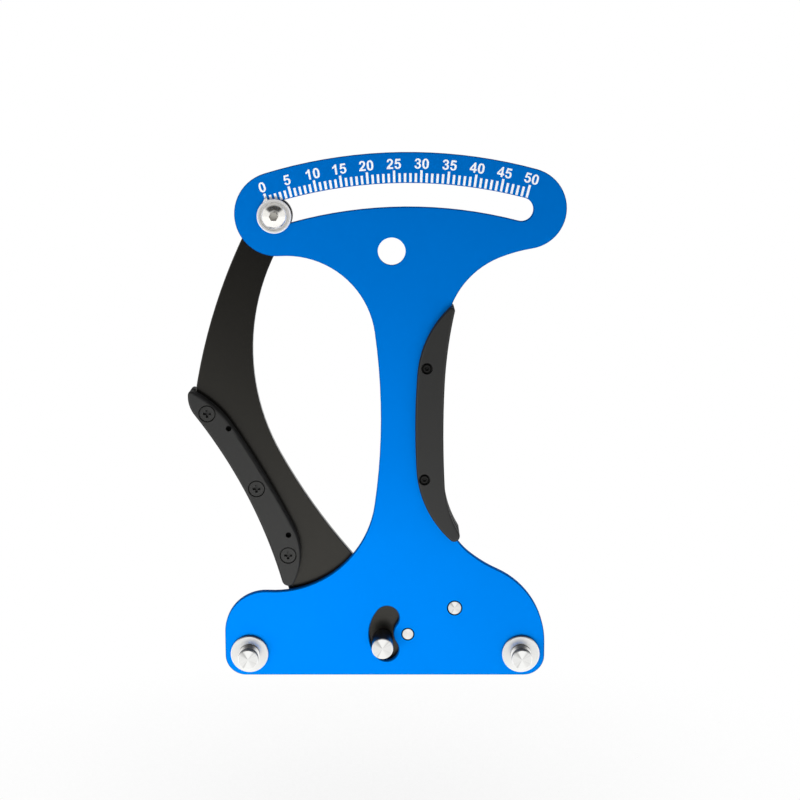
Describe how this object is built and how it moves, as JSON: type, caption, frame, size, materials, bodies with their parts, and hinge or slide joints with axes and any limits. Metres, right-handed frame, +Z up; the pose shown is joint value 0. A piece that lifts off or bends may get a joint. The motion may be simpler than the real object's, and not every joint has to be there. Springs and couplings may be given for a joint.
{
  "type": "spoke tension meter",
  "caption": "Hand-held meter for spoke tension: a sprung lever presses a post on the spoke between fixed posts and moves a pointer along a curved scale.",
  "frame": {"origin": "centre of the hang hole, in the front face of the body plate", "axes": "+X to the right as the scale is read, +Z up, -Y toward the reader: the tool as it hangs on a hook"},
  "size_m": [0.1376, 0.02, 0.1948],
  "materials": {
    "blue_anodised": "matte blue anodised",
    "black_lever_steel": "satin black coated sheet steel",
    "grip_plastic": "moulded, fine matte grain",
    "turned_stainless": "turned, fine circular lay on the faces",
    "black_steel": "black oxide, satin",
    "zinc_steel": "bright zinc plated",
    "spring_wire": "drawn wire, smooth",
    "bronze": "sintered bronze",
    "black_acetal": "turned acetal",
    "scale_ink_white": "screen printed ink, thin and matte"
  },
  "bodies": {
    "body": {"body_plate": "blue_anodised", "body_grip_front": "grip_plastic", "body_grip_rear": "grip_plastic", "body_grip_screws": "black_steel", "body_grip_nuts": "zinc_steel", "left_post": "turned_stainless", "right_post": "turned_stainless", "post_washers": "zinc_steel", "post_screws": "black_steel", "spring_stud": "turned_stainless", "pivot_pin": "turned_stainless", "pivot_spacer": "black_acetal", "pivot_washer": "black_acetal", "pivot_clip": "black_steel", "return_spring": "spring_wire"},
    "lever": {"lever_plate": "black_lever_steel", "pivot_bush": "bronze", "lever_grip_front": "grip_plastic", "lever_grip_rear": "grip_plastic", "lever_grip_screws": "black_steel", "lever_grip_nuts": "zinc_steel", "lever_grip_pins": "black_steel", "moving_post": "turned_stainless", "moving_post_screw": "black_steel", "pointer": "turned_stainless", "pointer_bush": "black_acetal", "pointer_screw": "turned_stainless", "spring_pin": "turned_stainless"}
  },
  "joints": [
    {"name": "lever_pivot", "type": "hinge", "parent": "body", "child": "lever", "pos_m": [0.00595, 0.0053, -0.1434], "axis": [0, 1, 0], "range_deg": [0, 31.6], "stiffness_Nm_per_rad": 0.25, "springref_deg": -28.65, "deforming": ["return_spring"]}
  ]
}
